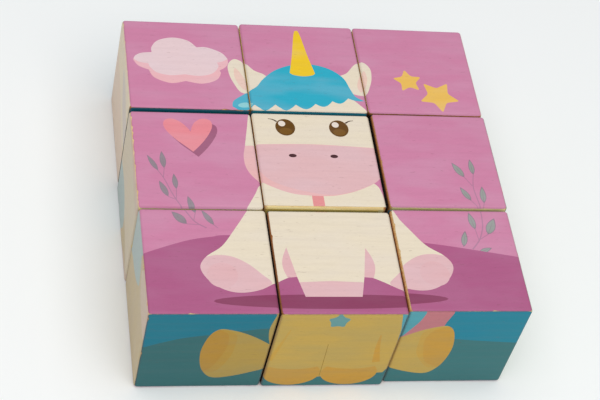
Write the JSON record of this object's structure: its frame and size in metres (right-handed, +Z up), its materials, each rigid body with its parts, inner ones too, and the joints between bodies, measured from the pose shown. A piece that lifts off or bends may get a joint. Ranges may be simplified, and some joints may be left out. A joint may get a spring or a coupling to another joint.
{
  "type": "wooden picture block puzzle",
  "caption": "Loose wooden cubes with rounded edges, set in a square; each face carries a piece of another picture, and a block tips over its outer edge to show the next.",
  "frame": {"origin": "on the table, under the middle of the whole three by three set", "axes": "+Z up, +X to the right along a row of the top picture, +Y away from the player, towards the picture's top"},
  "size_m": [0.121, 0.1222, 0.04],
  "materials": {
    "basswood": "sanded, unvarnished",
    "pink_print": "satin printed film",
    "teal_print": "satin printed film",
    "cream_print": "satin printed film"
  },
  "bodies": {
    "front_left": {"front_left_block": "basswood", "front_left_top_and_bottom_prints": "pink_print", "front_left_front_and_back_prints": "teal_print", "front_left_left_and_right_prints": "cream_print"},
    "front_centre": {"front_centre_block": "basswood", "front_centre_top_and_bottom_prints": "pink_print", "front_centre_front_and_back_prints": "teal_print", "front_centre_left_and_right_prints": "cream_print"},
    "front_right": {"front_right_block": "basswood", "front_right_top_and_bottom_prints": "pink_print", "front_right_front_and_back_prints": "teal_print", "front_right_left_and_right_prints": "cream_print"},
    "middle_left": {"middle_left_block": "basswood", "middle_left_top_and_bottom_prints": "pink_print", "middle_left_front_and_back_prints": "teal_print", "middle_left_left_and_right_prints": "cream_print"},
    "middle_centre": {"middle_centre_block": "basswood", "middle_centre_top_and_bottom_prints": "pink_print", "middle_centre_front_and_back_prints": "teal_print", "middle_centre_left_and_right_prints": "cream_print"},
    "middle_right": {"middle_right_block": "basswood", "middle_right_top_and_bottom_prints": "pink_print", "middle_right_front_and_back_prints": "teal_print", "middle_right_left_and_right_prints": "cream_print"},
    "back_left": {"back_left_block": "basswood", "back_left_top_and_bottom_prints": "pink_print", "back_left_front_and_back_prints": "teal_print", "back_left_left_and_right_prints": "cream_print"},
    "back_centre": {"back_centre_block": "basswood", "back_centre_top_and_bottom_prints": "pink_print", "back_centre_front_and_back_prints": "teal_print", "back_centre_left_and_right_prints": "cream_print"},
    "back_right": {"back_right_block": "basswood", "back_right_top_and_bottom_prints": "pink_print", "back_right_front_and_back_prints": "teal_print", "back_right_left_and_right_prints": "cream_print"}
  },
  "joints": [
    {"name": "front_left_tip", "type": "hinge", "parent": "middle_centre", "child": "front_left", "pos_m": [-0.0402, -0.0597, 0.0012], "axis": [1, 0, 0], "range_deg": [0, 90]},
    {"name": "front_centre_tip", "type": "hinge", "parent": "middle_centre", "child": "front_centre", "pos_m": [0, -0.05985, 0.0012], "axis": [1, 0, 0], "range_deg": [0, 90]},
    {"name": "front_right_tip", "type": "hinge", "parent": "middle_centre", "child": "front_right", "pos_m": [0.04015, -0.05875, 0.0012], "axis": [1, 0, 0], "range_deg": [0, 90]},
    {"name": "middle_left_tip", "type": "hinge", "parent": "middle_centre", "child": "middle_left", "pos_m": [-0.0593, -0.00055, 0.0012], "axis": [0, -1, 0], "range_deg": [0, 90]},
    {"name": "middle_right_tip", "type": "hinge", "parent": "middle_centre", "child": "middle_right", "pos_m": [0.0593, 0.00085, 0.0012], "axis": [0, 1, 0], "range_deg": [0, 90]},
    {"name": "back_left_tip", "type": "hinge", "parent": "middle_centre", "child": "back_left", "pos_m": [-0.0402, 0.05935, 0.0012], "axis": [-1, 0, 0], "range_deg": [0, 90]},
    {"name": "back_centre_tip", "type": "hinge", "parent": "middle_centre", "child": "back_centre", "pos_m": [-0.00005, 0.0598, 0.0012], "axis": [-1, 0, 0], "range_deg": [0, 90]},
    {"name": "back_right_tip", "type": "hinge", "parent": "middle_centre", "child": "back_right", "pos_m": [0.04005, 0.05985, 0.0012], "axis": [-1, 0, 0], "range_deg": [0, 90]}
  ]
}
